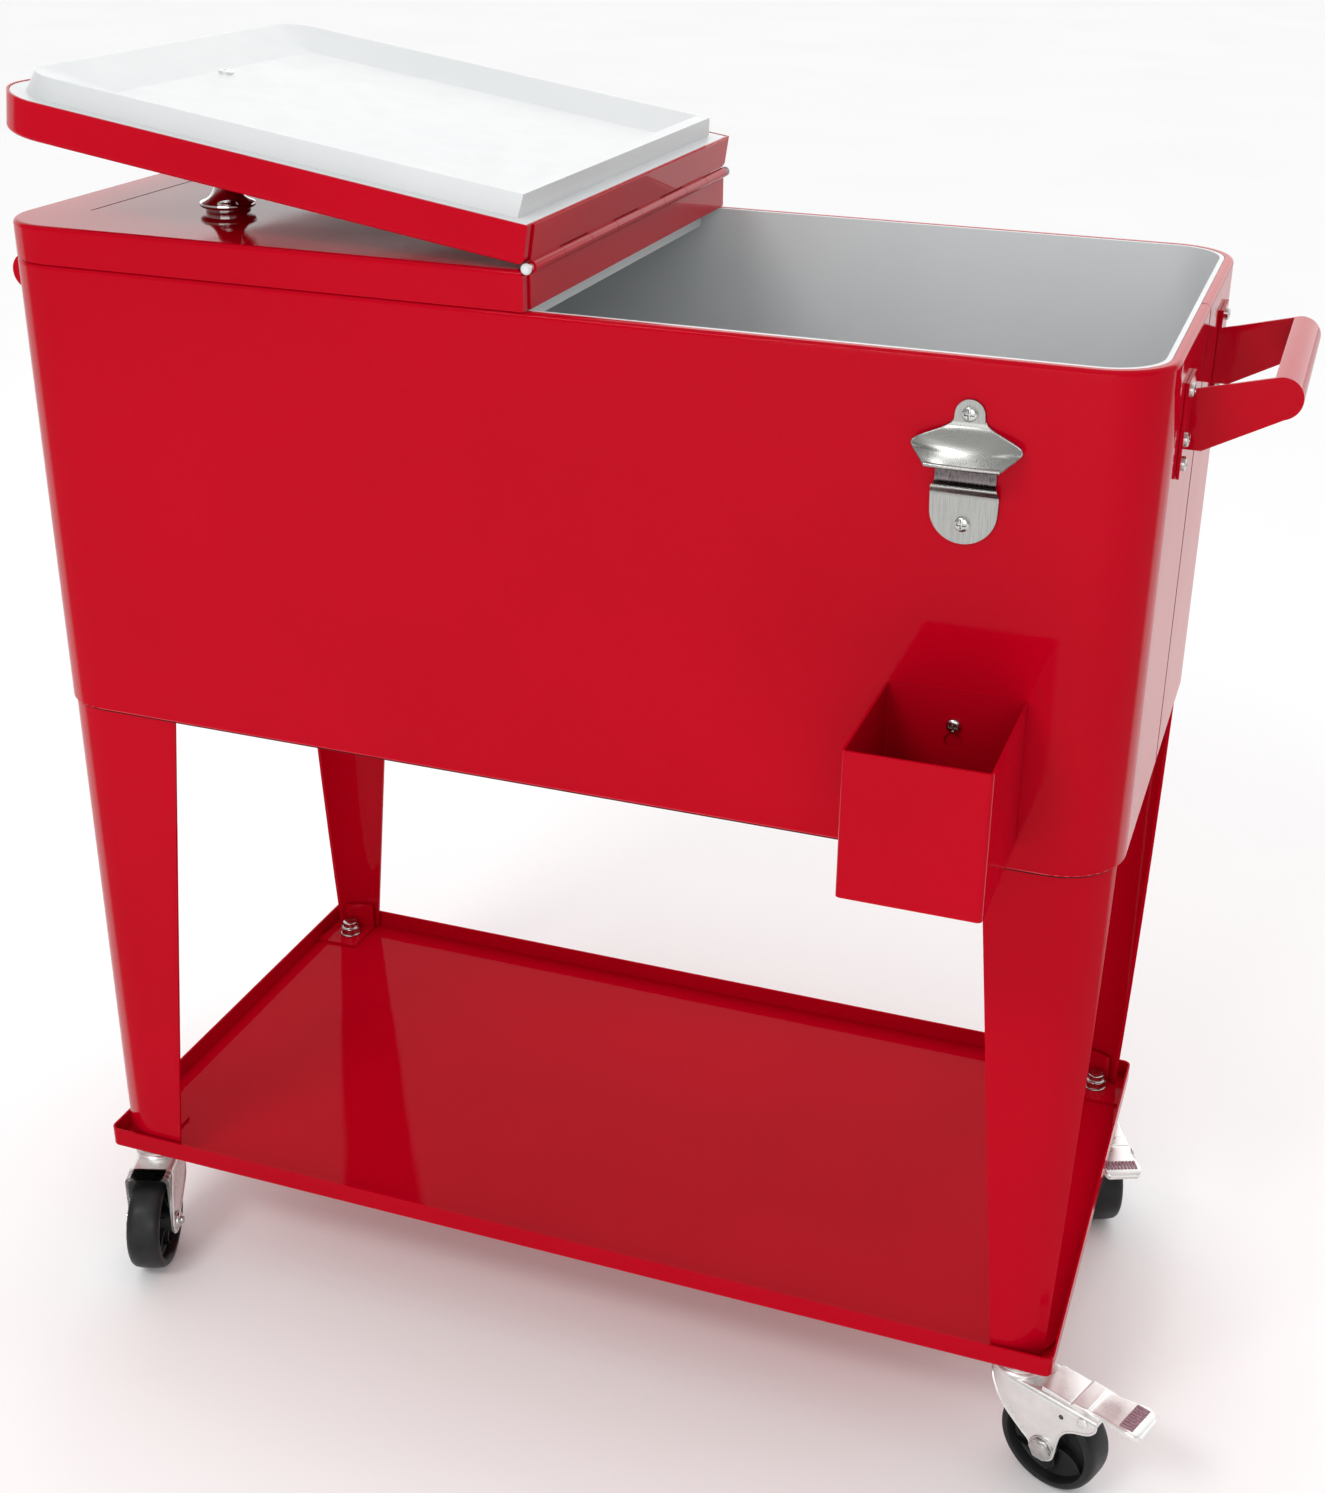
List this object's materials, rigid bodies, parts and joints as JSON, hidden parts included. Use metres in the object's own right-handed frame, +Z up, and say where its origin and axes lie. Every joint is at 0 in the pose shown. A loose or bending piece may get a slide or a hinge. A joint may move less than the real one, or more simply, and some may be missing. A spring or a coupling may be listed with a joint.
{
  "type": "vintage soda cooler chest",
  "caption": "Insulated drinks cooler chest on a wheeled stand: two flip-over lids on a centre hinge, end handles, bottle opener, cap catcher, shelf tray and swivel casters.",
  "frame": {"origin": "floor level, at the centre of the whole cart's footprint", "axes": "+X along the chest towards the opener end, +Y to the plain back, +Z up"},
  "size_m": [0.8712, 0.4622, 0.8947],
  "materials": {
    "red_paint": "glossy powder coat",
    "white_plastic": "satin moulded",
    "foam": "foamed",
    "brushed_stainless": "brushed",
    "bright_metal": "polished",
    "zinc": "bright zinc plate",
    "black_wheel": "semi-gloss",
    "black_plastic": "satin"
  },
  "bodies": {
    "cart": {"back_left_foot": "red_paint", "back_left_leg": "red_paint", "back_left_stem": "zinc", "back_right_foot": "red_paint", "back_right_leg": "red_paint", "back_right_stem": "zinc", "back_shell": "red_paint", "bottom_pan": "red_paint", "catcher_screw": "zinc", "drain_nut": "black_plastic", "drain_spout": "white_plastic", "front_left_foot": "red_paint", "front_left_leg": "red_paint", "front_left_stem": "zinc", "front_right_foot": "red_paint", "front_right_leg": "red_paint", "front_right_stem": "zinc", "front_shell": "red_paint", "handle_screws": "zinc", "insulation": "foam", "left_handle": "red_paint", "leg_bolts": "zinc", "liner": "white_plastic", "opener": "brushed_stainless", "opener_screws": "zinc", "right_handle": "red_paint", "stem_nuts": "zinc", "tray": "red_paint"},
    "left_lid": {"left_lid_cover": "red_paint", "left_lid_liner": "white_plastic", "left_lid_foam": "foam", "left_lid_knob": "bright_metal", "left_knob_screw": "zinc", "left_hinge_leaf": "red_paint", "hinge_pin": "zinc", "hinge_caps": "white_plastic"},
    "right_lid": {"right_lid_cover": "red_paint", "right_lid_liner": "white_plastic", "right_lid_foam": "foam", "right_lid_knob": "bright_metal", "right_knob_screw": "zinc", "right_hinge_leaf": "red_paint"},
    "cap_catcher": {"cap_catcher": "red_paint"},
    "drain_cap": {"drain_cap": "black_plastic"},
    "front_left_swivel": {"front_left_fork": "zinc", "front_left_axle": "zinc"},
    "front_left_wheel": {"front_left_wheel": "black_wheel"},
    "front_right_swivel": {"front_right_fork": "zinc", "front_right_axle": "zinc", "front_right_pedal_pin": "zinc"},
    "front_right_wheel": {"front_right_wheel": "black_wheel"},
    "front_right_brake": {"front_right_pedal": "zinc"},
    "back_left_swivel": {"back_left_fork": "zinc", "back_left_axle": "zinc"},
    "back_left_wheel": {"back_left_wheel": "black_wheel"},
    "back_right_swivel": {"back_right_fork": "zinc", "back_right_axle": "zinc", "back_right_pedal_pin": "zinc"},
    "back_right_wheel": {"back_right_wheel": "black_wheel"},
    "back_right_brake": {"back_right_pedal": "zinc"}
  },
  "joints": [
    {"name": "left_lid_flip", "type": "hinge", "parent": "cart", "child": "left_lid", "pos_m": [0, 0.0489, 0.8052], "axis": [0, 1, 0], "range_deg": [0, 171.5]},
    {"name": "right_lid_flip", "type": "hinge", "parent": "left_lid", "child": "right_lid", "pos_m": [0, 0.0489, 0.8052], "axis": [0, -1, 0], "range_deg": [-171.5, 0]},
    {"name": "cap_catcher_lift", "type": "slide", "parent": "cart", "child": "cap_catcher", "axis": [0, 0, 1], "range_m": [0, 0.01]},
    {"name": "drain_cap_turn", "type": "hinge", "parent": "cart", "child": "drain_cap", "pos_m": [-0.2, 0.0489, 0.458], "axis": [0, 0, 1], "range_deg": [0, 720]},
    {"name": "front_left_swivel_turn", "type": "hinge", "parent": "cart", "child": "front_left_swivel", "pos_m": [-0.341, -0.1071, 0.08], "axis": [0, 0, 1], "continuous": true},
    {"name": "front_left_wheel_roll", "type": "hinge", "parent": "front_left_swivel", "child": "front_left_wheel", "pos_m": [-0.33111, -0.13753, 0.037], "axis": [0.9511, 0.309, 0], "continuous": true},
    {"name": "front_right_swivel_turn", "type": "hinge", "parent": "cart", "child": "front_right_swivel", "pos_m": [0.341, -0.1071, 0.08], "axis": [0, 0, 1], "continuous": true},
    {"name": "front_right_wheel_roll", "type": "hinge", "parent": "front_right_swivel", "child": "front_right_wheel", "pos_m": [0.37067, -0.11909, 0.037], "axis": [0.3746, 0.9272, 0], "continuous": true},
    {"name": "front_right_brake_press", "type": "hinge", "parent": "front_right_swivel", "child": "front_right_brake", "pos_m": [0.39663, -0.12958, 0.077], "axis": [0.3746, 0.9272, 0], "range_deg": [0, 12]},
    {"name": "back_left_swivel_turn", "type": "hinge", "parent": "cart", "child": "back_left_swivel", "pos_m": [-0.341, 0.2049, 0.08], "axis": [0, 0, 1], "continuous": true},
    {"name": "back_left_wheel_roll", "type": "hinge", "parent": "back_left_swivel", "child": "back_left_wheel", "pos_m": [-0.34656, 0.17339, 0.037], "axis": [0.9848, -0.1736, 0], "continuous": true},
    {"name": "back_right_swivel_turn", "type": "hinge", "parent": "cart", "child": "back_right_swivel", "pos_m": [0.341, 0.2049, 0.08], "axis": [0, 0, 1], "continuous": true},
    {"name": "back_right_wheel_roll", "type": "hinge", "parent": "back_right_swivel", "child": "back_right_wheel", "pos_m": [0.3535, 0.17544, 0.037], "axis": [0.9205, 0.3907, 0], "continuous": true},
    {"name": "back_right_brake_press", "type": "hinge", "parent": "back_right_swivel", "child": "back_right_brake", "pos_m": [0.36444, 0.14967, 0.077], "axis": [0.9205, 0.3907, 0], "range_deg": [0, 12]}
  ]
}
